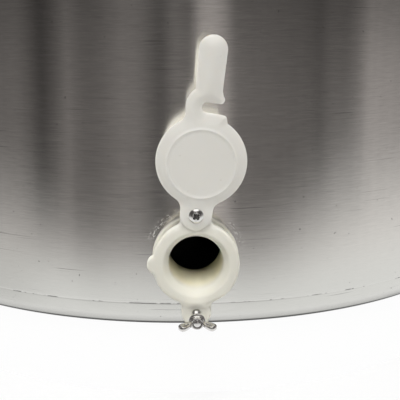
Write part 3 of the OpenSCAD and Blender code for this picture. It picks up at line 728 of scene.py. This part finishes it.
def plate_outline():
    """The swinging plate's edge about its pivot: tongue, disc, hook with its slot, and handle, joined by
    arcs. The slot's sides are arcs about the pivot, so that the hook swings over the bolt."""
    tongue_r, disc_r, fillet = 11.5, 32.0, 8.0
    slot_half, crown_r = 3.5, 14.7
    jaw_r, jaw_x, jaw_turn, jaw_gap = 2.5, 12.0, 30, 5
    lip_r, lip_x, lip_turn = 3.0, 8.8, 50
    handle_r, handle_x, handle_top, join_x = 9.9, 0.4, 125.2, -8.9
    heel = [9.7, 2 * LUG + crown_r * 0.82]
    disc, slot = np.array([0, LUG]), np.array([0, 2 * LUG])
    slot_in, slot_out = 2 * LUG - slot_half, 2 * LUG + slot_half

    rest = corner_rest(LUG, disc_r, tongue_r, fillet, -1)
    other = rest * [-1, 1]
    jaw_a = math.degrees(math.asin(jaw_x / (slot_in - jaw_r)))
    jaw = (slot_in - jaw_r) * bearing(jaw_a)
    jaw_start = jaw + jaw_r * bearing(90 - jaw_turn)
    lip_a = math.degrees(math.asin(lip_x / (slot_out + lip_r)))
    lip = (slot_out + lip_r) * bearing(lip_a)
    up = ((disc_r + fillet) ** 2 - (crown_r + fillet) ** 2 + LUG ** 2) / (2 * LUG)
    arm = np.array([-math.sqrt((disc_r + fillet) ** 2 - up ** 2), LUG + up])
    join = math.degrees(math.acos(join_x / crown_r))
    return np.concatenate([
        arc((0, 0), tongue_r, 180, 360), arc(rest, fillet, 180, heading(disc - rest)),
        arc(disc, disc_r, heading(rest - disc), heading(jaw_start - disc) - jaw_gap, 40),
        arc(jaw, jaw_r, jaw_turn, 90 - jaw_a), arc((0, 0), slot_in, 90 - jaw_a, 90),
        arc(slot, slot_half, 270, 90), arc((0, 0), slot_out, 90, 90 - lip_a),
        arc(lip, lip_r, -90 - lip_a, lip_turn), [heel],
        arc((handle_x, handle_top - handle_r), handle_r, 0, 180, 24),
        arc(slot, crown_r, join, 360 + heading(arm - slot)),
        arc(arm, fillet, heading(slot - arm), heading(disc - arm)),
        arc(disc, disc_r, heading(arm - disc), 180 - heading(rest - disc), 40),
        arc(other, fillet, 180 - heading(disc - rest), 0)])


def make_plate():
    """A rounded edge carried along the outline, and a front that is a height over the plane: a margin that
    slopes back to the edge as a power of the distance from it, and a raised ring, a bell curve over the
    radius with a shallow band outside it."""
    thick, edge_w, edge_h = 5.0, 1.6, 0.8
    slope_w, slope_h, slope_power = 9.0, 2.6, 1.6
    ring_y, ring_r, ring_h, ring_in, ring_out = LUG - 1.2, 24.2, 0.8, 1.2, 0.95
    band_h, band_start, band_mid, band_end = 0.4, 25.0, 31.0, 37.0
    back_edge, hole_in, hole_out, hole_steps = 0.9, 0.3, 0.5, 48
    net_step, edge_clear, hole_clear, ring_clear, ring_mid = 1.25, 0.35, 1.0, 1.7, 24.0
    lean, seat = math.radians(-6), 0.1
    line = even(plate_outline(), 0.55)
    normal = inward(line)

    def front(flat, gap):
        """Height of the front at points that lie gap from the edge."""
        r = np.hypot(flat[:, 0], flat[:, 1] - ring_y)
        ridge = ring_h * np.exp(-((r - ring_r) / np.where(r > ring_r, ring_out, ring_in)) ** 2)
        band = band_h * smooth_step(r, band_start, band_mid) * (1 - smooth_step(r, band_mid, band_end))
        slope = slope_h * np.clip(1 - gap / slope_w, 0, 1) ** slope_power
        return thick - slope - fall_off(gap, edge_w, edge_h) + ridge - band

    s = Shape()
    side = [(back_edge, 0.0), (0.45, 0.12), (0.12, 0.45), (0.0, back_edge)]
    inner = moulded_edge(s, line, normal, side, (0, 0.08, 0.25, 0.5, 0.85, 1.3, 1.8), front)
    ring_rows = (22.6, 23.0, 23.3, 23.55, 23.75, 23.9, 24.05, 24.2, 24.4, 24.65, 24.95, 25.4)
    rings = np.concatenate([circle((0, ring_y), r, 170) for r in ring_rows])
    net = lattice(inner, net_step)
    net = net[np.abs(np.hypot(net[:, 0], net[:, 1] - ring_y) - ring_mid) > ring_clear]
    extra = np.concatenate([net, rings])
    off_hole = np.hypot(extra[:, 0], extra[:, 1]) > BOLT_HOLE_R + hole_clear
    extra = extra[inside(extra, inner) & (edge_gap(extra, inner) > edge_clear) & off_hole]
    hole_front = circle((0, 0), BOLT_HOLE_R + hole_out, hole_steps)
    hole_back = circle((0, 0), BOLT_HOLE_R + hole_in, hole_steps)
    s.sheet([inner, hole_front], lambda p: front(p, edge_gap(p, line)), extra)
    s.sheet([line + normal * back_edge, hole_back], lambda p: 0.0)
    s.turn([(BOLT_HOLE_R + hole_out, thick), (BOLT_HOLE_R + 0.15, thick - 0.12), (BOLT_HOLE_R, thick - 0.4),
            (BOLT_HOLE_R, hole_in), (BOLT_HOLE_R + hole_in, 0.0)], hole_steps)
    c, d = math.cos(lean), math.sin(lean)
    turn = np.array([[c, d, 0], [-d, c, 0], [0, 0, 1]])
    s.place(lambda p: at_gate(p @ turn + [0, LUG, seat]))
    s.piece("gate_swing_plate", "gate_plate", ["gate_plate"], NYLON, 60)


def body_outline():
    """The gate body's front edge: a round flange with a lug above and below and a nub on the left, joined
    by fillets."""
    flange_r, lug_r, lug_fillet = 31.5, 11.0, 5.0
    nub_x, nub_r, nub_fillet = 29.0, 6.5, 3.0
    nub = np.array([-nub_x, 0])
    low = corner_rest(0, flange_r, lug_r, lug_fillet, -1)
    high = corner_rest(0, flange_r, lug_r, lug_fillet, 1)
    x = ((flange_r + nub_fillet) ** 2 - (nub_r + nub_fillet) ** 2 + nub_x ** 2) / (2 * nub_x)
    rest = np.array([-x, math.sqrt((flange_r + nub_fillet) ** 2 - x ** 2)])
    down = rest * [1, -1]
    right = np.concatenate([arc((0, -LUG), lug_r, -90, 0), arc(low, lug_fillet, 180, heading(-low)),
                            arc((0, 0), flange_r, heading(low), heading(high), 60),
                            arc(high, lug_fillet, 360 + heading(-high), 180), arc((0, LUG), lug_r, 0, 90)])
    left = (right * [-1, 1])[::-1]
    a = np.degrees(np.arctan2(left[:, 1], left[:, 0])) % 360
    gap = heading(rest) % 360
    upper = left[(a < gap) & (left[:, 1] > 0)]
    lower = left[(a > 360 - gap) & (left[:, 1] < 0)]
    bump = np.concatenate([arc(rest, nub_fillet, heading(-rest), heading(nub - rest), 8),
                           arc(nub, nub_r, heading(rest - nub), 360 - heading(rest - nub), 24),
                           arc(down, nub_fillet, heading(nub - down), heading(-down), 8)])
    return np.concatenate([right, upper, bump, lower])


def make_gate_body():
    """Outline edge and front face as on the plate, with the lower lug set back; the bore, waist, rear
    flange and threaded neck are a section carried round the outlet's axis, the thread a ridge that climbs
    one pitch a turn."""
    edge_w, edge_h, lug_back, n = 3.4, 2.0, 3.5, 120
    mouth_r, bore_r, waist_r, waist_top_r, flange_r = 26.0, 20.0, 26.0, 27.0, 32.0
    back_edge, hole_edge, hole_steps = 0.8, 0.4, 40
    net_step, edge_clear, hole_clear = 1.3, 0.4, 0.6
    neck_r, neck_z, end_z, pitch, depth = 24.5, -24.0, -55.0, 3.0, 0.85
    collar_r, rear_z, rear_end_z = 24.6, -17.0, -22.0
    bore_end_r, neck_end_r, hole_r = 21.2, 23.8, BOLT_HOLE_R + hole_edge
    line = even(body_outline(), 0.6)
    normal = inward(line)

    def front(flat, gap):
        """Height of the face: the lower lug lies behind the flange, whose edge rounds over to it."""
        x, y = flat.T
        set_back = lug_back * smooth_step(np.hypot(x, y), 27.6, 36.5) * smooth_step(-y, 21, 30)
        return -set_back - fall_off(gap, edge_w, edge_h)

    s = Shape()
    side = [(back_edge, BODY_BACK), (0.25, -8.35), (0.0, -7.7), (0.0, -5.2)]
    inner = moulded_edge(s, line, normal, side, (0, 0.06, 0.2, 0.45, 0.8, 1.25, 1.75), front)
    holes = [circle((0, y), hole_r, hole_steps) for y in (-LUG, LUG)]
    ring_rows = (27.3, 28.4, 29.3, 30.2, 31.0, 31.8, 32.6, 33.4, 34.2, 35.0)
    extra = np.concatenate([lattice(inner, net_step)] + [circle((0, 0), r, 150) for r in ring_rows])
    x, y = extra.T
    keep = inside(extra, inner) & (edge_gap(extra, inner) > edge_clear)
    for centre_y, radius in ((0, mouth_r), (-LUG, hole_r), (LUG, hole_r)):
        keep &= np.hypot(x, y - centre_y) > radius + hole_clear
    s.sheet([inner, circle((0, 0), mouth_r, n), *holes], lambda p: front(p, edge_gap(p, line)), extra[keep])
    s.sheet([line + normal * back_edge, circle((0, 0), waist_top_r, n), *holes], lambda p: BODY_BACK)
    for lug_y in (-LUG, LUG):
        h = front(np.array([[0, lug_y]]), edge_w)[0]
        s.grid(turned([(hole_r, h), (BOLT_HOLE_R, h - hole_edge), (BOLT_HOLE_R, BODY_BACK + hole_edge),
                       (hole_r, BODY_BACK)], hole_steps) + [0, lug_y, 0])

    flare = rounded([(mouth_r, 0.0, 0), (24.0, -0.05, 2.4), (bore_r, -6.6, 3.0), (bore_r, -12, 0)], steps=8)
    bore = [[bore_r, -16], [bore_r, -22], [20.4, -38], [20.8, end_z + 0.4], [bore_end_r, end_z]]
    s.turn(np.concatenate([flare, bore]), n)
    s.turn(rounded([(waist_top_r, BODY_BACK, 0), (waist_r, BODY_BACK - 0.1, 0.8), (waist_r, rear_z, 0.8),
                    (flange_r, rear_z, 1.1), (flange_r, rear_end_z, 0.5), (collar_r, rear_end_z, 0.3),
                    (collar_r, neck_z, 0)], steps=4), n)
    a, z = angles(n), np.linspace(neck_z, -54.2, 122)[:, None]
    wave = (z / pitch - a / TAU) % 1.0
    fade = smooth_step(-z, 24, 25.5) * (1 - smooth_step(-z, 52, 54))
    groove = depth * fade * np.clip(np.abs(wave - 0.5) * 4 - 0.6, 0, 1)
    neck = round_axis(neck_r - groove + np.where(z > neck_z - 0.01, collar_r - neck_r, 0), a, z)
    s.grid(neck)
    s.grid(np.concatenate([neck[-1:], turned([(neck_end_r, end_z), (bore_end_r, end_z)], n)]))
    s.place(at_gate)
    s.piece("gate_moulded_body", "tank", ["gate_body"], NYLON, 50)


def make_pivot_screw():
    """A domed head as a height over a disc, part of a sphere sunk by a cross recess, on a plain shank."""
    steps, head_r, head_h, head_z, seat_z, end_z = 160, 5.25, 2.7, 5.8, 5.2, -16.6
    recess_h, recess_turn, middle_share = 2.2, math.radians(38), 0.6
    r = np.concatenate([np.linspace(0, 3.2, 44), np.linspace(3.3, 5.0, 14), [5.12, 5.2, head_r]])[:, None]
    a = angles(steps)
    sphere = (head_r ** 2 + head_h ** 2) / (2 * head_h)
    dome = head_z + np.sqrt(sphere ** 2 - r ** 2) - (sphere - head_h)
    u, v = np.abs(r * np.cos(a - recess_turn)), np.abs(r * np.sin(a - recess_turn))

    def slot(across, along):
        """One arm of the cross: 1 along its middle, 0 past its sides and ends."""
        return (1 - smooth_step(across, 0.45, 0.9)) * (1 - smooth_step(along, 1.6, 2.9))

    middle = middle_share * (1 - smooth_step(r, 1.1, 2.6))
    sunk = recess_h * np.maximum(np.maximum(slot(v, u), slot(u, v)), middle)
    s = Shape()
    s.grid(round_axis(r, a, dome - sunk))
    s.turn([(head_r, head_z), (head_r, seat_z + 0.12), (head_r - 0.15, seat_z), (BOLT_R, seat_z),
            (BOLT_R, -14.0), (2.9, -15.6), (2.5, end_z), (0, end_z)], steps)
    s.place(lambda p: at_gate(p + [0, LUG, 0]))
    s.piece("pivot_dome_screw", "tank", ["pivot_screw"], PIVOT, 40)


def make_clamp_bolt():
    """A shank whose radius follows a thread that climbs 1 mm a turn, a domed end, and a chamfered hexagon
    head."""
    steps, pitch, depth = 48, 1.0, 0.42
    thread_z, end_z, end_in, dome_h = -6.0, 16.6, 0.25, 1.1
    head_half, corner_r, chamfer_r, head_z = 5.0, 9.0, 5.3, -12.5
    z = np.concatenate([np.linspace(BODY_BACK, thread_z, 3), np.arange(-5.9, end_z + 0.01, 0.1)])[:, None]
    a = angles(steps)
    wave = np.abs((z / pitch - a / TAU) % 1.0 - 0.5) * 2
    fade = smooth_step(z, thread_z, -5) * (1 - smooth_step(z, 15.8, end_z))
    shank = round_axis(BOLT_R - depth * fade * wave - end_in * smooth_step(z, 16.0, end_z), a, z)
    t = np.radians(np.linspace(0, 90, 9))[1:]
    dome = np.stack([(BOLT_R - end_in) * np.cos(t), end_z + dome_h * np.sin(t)], 1)
    hexagon = head_half / np.cos((a + math.pi / 6) % (math.pi / 3) - math.pi / 6)
    most, height = np.array([(head_half, BODY_BACK), (corner_r, BODY_BACK - 0.1), (corner_r, head_z + 0.4),
                             (chamfer_r, head_z + 0.2), (head_half, head_z), (0.0, head_z)]).T
    head = round_axis(np.minimum(hexagon, most[:, None]), a, height[:, None])
    s = Shape()
    s.grid(shank)
    s.grid(np.concatenate([shank[-1:], turned(dome, steps)]))
    s.grid(np.concatenate([shank[:1], head]))
    s.place(lambda p: at_gate(p - [0, LUG, 0]))
    s.piece("clamp_stud", "tank", ["clamp_bolt"], FASTENER, 40)


def make_wing_nut():
    """A short hub as a section carried round the bolt; each wing is a flat oval carried out along a curved
    line, with a groove behind its front edge where the sheet folds back."""
    base, hub_r, bore_r, wing_top = 13.2, 5.25, 3.05, 16.4
    root_x, root_z, wing_x, wing_z, wing_in = 4.0, 1.9, 8.3, 11.6, 3.5
    section = rounded([(3.2, 0.4, 0), (3.6, 0, 0.2), (hub_r, 0, 0.4), (5.15, 1.6, 0.7), (4.45, 2.4, 0.5),
                       (4.3, 4.0, 0.45), (3.6, 3.9, 0.3), (bore_r, 2.9, 0)], steps=6)
    hub = np.concatenate([section, [[bore_r, 0.8], [3.2, 0.4]]]) + [0, base]
    u, a = np.linspace(0, 1, 44)[:, None], angles(64)
    lean = np.radians(50 - 8 * u)
    tip = np.sqrt(np.clip(1 - np.clip((u - 0.66) / 0.34, 0, 1) ** 2.4, 0, 1))
    wide = (2.3 + 1.75 * smooth_step(u, 0.0, 0.6)) * tip
    thick = (1.45 + 0.6 * smooth_step(u, 0.2, 0.8)) * np.clip((1 - u) / 0.10, 0, 1) ** 0.5
    across = np.sign(np.cos(a)) * np.abs(np.cos(a)) ** 0.9
    along = smooth_step(u, 0.22, 0.36) * (1 - smooth_step(u, 0.74, 0.84))
    groove = 1 - 0.8 * along * np.exp(-((across - 0.34) / 0.17) ** 2)
    out = np.sign(np.sin(a)) * np.abs(np.sin(a)) ** 0.6 * thick * groove
    x = np.maximum(root_x + wing_x * u - across * wide * np.sin(lean), wing_in)
    z = base + root_z + wing_z * u ** 1.1 + across * wide * np.cos(lean)
    s = Shape()
    s.turn(hub)
    for side in (-1, 1):
        s.grid(np.stack([side * x, out, np.clip(z, base + 0.3, base + wing_top)], -1))
    s.place(lambda p: at_gate(p - [0, LUG, 0]))
    s.piece("clamp_wing_nut", "wing_nut", ["wing_nut"], FASTENER, 40)


def make_washer(name, body, node, y, base):
    """A flat ring with rounded edges carried round the bolt."""
    out_r, low, high = 6.0, 0.03, 1.55
    ring = rounded([(BOLT_HOLE_R, low, 0.15), (out_r, low, 0.35), (out_r, high, 0.5),
                    (BOLT_HOLE_R, high, 0.2)], closed=True, steps=4)
    s = Shape()
    s.grid(turned(ring), wrap_rows=True)
    s.place(lambda p: at_gate(p + [0, y, base]))
    s.piece(name, body, [node], FASTENER, 40)


make_shell()
make_floor()
make_lid()
make_lid_handle()
make_bail(-1)
make_bail(1)
make_plate()
make_gate_body()
make_pivot_screw()
make_clamp_bolt()
make_wing_nut()
make_washer("pivot_back_washer", "tank", "pivot_washer", LUG, -10.1)
make_washer("clamp_front_washer", "clamp_washer", "clamp_washer", -LUG, 11.6)

KEPT = {"lid_handle_screws": FASTENER, "lid_handle_washers": FASTENER, "left_handle_bracket": BRACKET,
        "right_handle_bracket": BRACKET, "gate_outer_gasket": RUBBER, "gate_inner_gasket": RUBBER,
        "gate_lock_nut": NYLON, "pivot_nut": FASTENER}
for node_name, material in KEPT.items():
    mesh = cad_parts[node_name].data
    mesh.materials.clear()
    mesh.materials.append(material)


# Stage, in metres

def stage_object(name, points, faces, material):
    """A piece of the studio, which isn't part of the object."""
    mesh = bpy.data.meshes.new(name)
    mesh.from_pydata(np.asarray(points, float), [], np.asarray(faces).tolist())
    mesh.polygons.foreach_set("use_smooth", np.ones(len(mesh.polygons), bool))
    mesh.materials.append(material)
    obj = bpy.data.objects.new(name, mesh)
    bpy.context.scene.collection.objects.link(obj)
    return obj


def studio_white(name, share):
    """A pale diffuse floor that the camera and mirrors see mostly as plain white, wholly so far away, and
    that keeps a faint shadow."""
    f = Finish(name, Base_Color=rgb(0.86, 0.86, 0.85), Roughness=0.9, Specular_IOR_Level=0.0)
    x, y, _ = f.axes()
    rays = ("Is Camera Ray", "Is Glossy Ray", "Is Transmission Ray")
    seen = sum(f.node("ShaderNodeLightPath", {}, {}, ray) for ray in rays)
    far = (x * x + y * y).step(0.8e6, 6.0e6)
    white = seen.math("MINIMUM", 1.0) * (share + (1 - share) * far)
    glow = f.node("ShaderNodeEmission", {}, {"Color": rgb(1, 1, 1), "Strength": 1.0})
    own = Value(f, f.shader.outputs[0])
    f.show(f.node("ShaderNodeMixShader", {}, {0: white, 1: own, 2: glow}), "Material Output")
    return f.material


def surround_light():
    """Light that only mirrors see: upright bands by direction in degrees, dimmer higher up, over a pale
    floor that fades sooner in front, and a bright ceiling."""
    f = Finish("studio_surround")
    x, y, z = f.axes()
    turn = x.math("ARCTAN2", -1 * y) * (180 / math.pi)
    levels = [(-180, 0.75), (-120, 0.4), (-95, 0.7), (-75, 0.25), (-60, 0.15), (-50, 0.16), (-46, 0.11),
              (-42, 0.05), (-38, 0.11), (-34, 0.20), (-30, 0.13), (-25, 0.14), (-18, 0.20), (-14, 0.18),
              (-8, 0.07), (-4, 0.17), (0, 0.14), (2.5, 0.42), (5, 0.52), (9, 0.38), (12, 0.16), (21, 0.145),
              (33, 0.12), (36, 0.09), (40, 0.14), (45, 0.13), (49, 0.19), (53, 0.355), (75, 0.31), (95, 0.7),
              (120, 0.35), (180, 0.75)]
    stops = [((a + 180) / 360, rgb(v * 1.01, v * 0.955, v * 0.93)) for a, v in levels]
    bands = f.node("ShaderNodeValToRGB", {"stops": stops}, {0: (turn + 180.0) / 360.0})
    aside = 1.05 * turn.step(12, 50) + 0.75 * turn.step(-24, -54)
    left = turn.step(-26, -16) * turn.step(-1, -5)
    floor_end, fade_run = 688 + 130 * aside - 28 * left, 180 + 70 * aside - 56 * left
    near = ((floor_end - x.hypot(y)) / fade_run).step(0, 1) * z.step(300, 0)
    pale = f.mix(turn.step(-28, -52), rgb(0.93, 0.93, 0.915), rgb(0.72, 0.715, 0.70))
    fade = 0.42 + 0.18 * turn.step(34, 54) - 0.14 * left
    light = f.mix(near, f.dimmed(bands, 1 - fade * z.step(130, 290)), pale)
    light = f.mix(z.step(1150, 1300), light, rgb(1.6, 1.58, 1.55))
    f.show(f.node("ShaderNodeEmission", {}, {"Color": light, "Strength": 1.0}), "Material Output")
    return f.material


def make_stage():
    """Floor, a low plinth under the foot, and the ring of light that mirrors see."""
    size, low, top = 6.0, -0.06, -0.0003
    plinth_r, plinth_edge = 0.293, 0.003
    ring_steps, wall_steps = 128, 96
    corners = [(-size, -size, low), (size, -size, low), (size, size, low), (-size, size, low)]
    stage_object("studio_floor", corners, [(0, 1, 2, 3)], studio_white("studio_floor_white", 0.9))
    plinth = turned([(0, 0.0), (plinth_r - plinth_edge, 0.0), (plinth_r, -0.002), (plinth_r, low)],
                    ring_steps)
    stage_object("studio_plinth", (plinth + [0, 0, top]).reshape(-1, 3), quads(4, ring_steps),
                 studio_white("studio_plinth_white", 0.97))
    side = rounded([(0.44, low + 0.001, 0), (0.86, low + 0.001, 0.36), (0.86, 1.4, 0.2), (0.5, 1.9, 0)],
                   steps=16)
    surround = stage_object("studio_surround", turned(side, wall_steps).reshape(-1, 3),
                            quads(len(side), wall_steps), surround_light())
    surround.visible_camera = False
    surround.visible_diffuse = False
    surround.visible_transmission = False
    surround.visible_shadow = False
    surround.visible_volume_scatter = False


def make_world():
    """Plain white behind the object for the camera, and a soft even grey for everything else."""
    world = bpy.data.worlds.new("studio_world")
    bpy.context.scene.world = world
    world.use_nodes = True
    n = Nodes(world.node_tree)
    soft = n.node("ShaderNodeBackground", {}, {"Color": rgb(1.0, 0.985, 0.965), "Strength": 0.10})
    white = n.node("ShaderNodeBackground", {}, {"Color": rgb(1, 1, 1), "Strength": 1.0})
    seen = n.node("ShaderNodeLightPath", {}, {}, "Is Camera Ray")
    n.show(n.node("ShaderNodeMixShader", {}, {0: seen, 1: soft, 2: white}), "World Output")


def make_lamp(name, place, aim, width, power, tint, spread=180, mirrored=False):
    """A soft square lamp that points from place to aim, with its beam's spread in degrees."""
    data = bpy.data.lights.new(name, "AREA")
    data.size = width
    data.spread = math.radians(spread)
    data.energy = power
    data.color = tint
    obj = bpy.data.objects.new(name, data)
    facing = (Vector(aim) - Vector(place)).to_track_quat("-Z", "Y")
    obj.matrix_world = Matrix.Translation(place) @ facing.to_matrix().to_4x4()
    obj.visible_glossy = mirrored
    obj.visible_camera = False
    bpy.context.scene.collection.objects.link(obj)


def make_lamps():
    """A key above, fills in front and on top, and small lamps for the outlet's mouth, the lower lug, the
    gap behind the gate and the back of the open plate, which the steel mirrors."""
    warm, back_tint = (1.0, 0.99, 0.975), (0.97, 1.0, 0.95)
    gap, plate_z, handle_z = (0, -0.322, 0.12), 0.13, 0.195
    make_lamp("key_lamp", (-0.1, -1.25, 1.85), (0, -0.32, 0.1), 0.9, 29.5, warm, mirrored=True)
    make_lamp("front_lamp", (0.2, -1.5, 0.8), (0, -0.32, 0.08), 0.8, 1.6, (1.0, 0.985, 0.96))
    make_lamp("top_lamp", (0.2, 0.2, 2.6), (0, 0, 0.4), 1.6, 10.0, (1.0, 0.99, 0.98))
    make_lamp("mouth_lamp", (0, -0.69, 0.4012), (0, -0.302, 0.0352), 0.03, 0.00122, (1.0, 0.98, 0.95), 5)
    make_lamp("lug_lamp", (0, -0.7, -0.04), (0, -0.3275, 0.0235), 0.008, 0.00014, (1.0, 0.98, 0.93), 2.8)
    make_lamp("left_gap_lamp", (-0.2, -0.262, 0.15), gap, 0.06, 0.2, warm)
    make_lamp("right_gap_lamp", (0.2, -0.262, 0.15), gap, 0.06, 0.15, warm)
    for name, x, z, width, power in (("plate_back_lamp", -0.004, plate_z, 0.06, 0.014),
                                     ("handle_back_lamp", -0.009, handle_z, 0.03, 0.005)):
        make_lamp(name, (x, -0.303, z), (x, -0.325, z), width, power, back_tint, 100)


def make_camera():
    """The photo's viewpoint: close in front of the gate, a little above it and looking down."""
    yaw, pitch, roll = 0.032815, 0.225392, -0.004985
    place, lens, sensor = (-0.01483, -0.86429, 0.22689), 70.786, 36.0
    level = math.cos(pitch)
    ahead = Vector((math.sin(yaw) * level, math.cos(yaw) * level, -math.sin(pitch)))
    right = Vector((math.cos(yaw), -math.sin(yaw), 0))
    up = right.cross(ahead)
    rolled_right = math.cos(roll) * right + math.sin(roll) * up
    rolled_up = -math.sin(roll) * right + math.cos(roll) * up
    data = bpy.data.cameras.new("camera")
    data.sensor_width = sensor
    data.lens = lens
    data.clip_start = 0.01
    obj = bpy.data.objects.new("camera", data)
    turn = Matrix((rolled_right, rolled_up, -ahead)).transposed().to_4x4()
    obj.matrix_world = Matrix.Translation(place) @ turn
    bpy.context.scene.collection.objects.link(obj)
    bpy.context.scene.camera = obj


make_stage()
make_world()
make_lamps()
make_camera()
bpy.context.scene.view_settings.view_transform = "Standard"
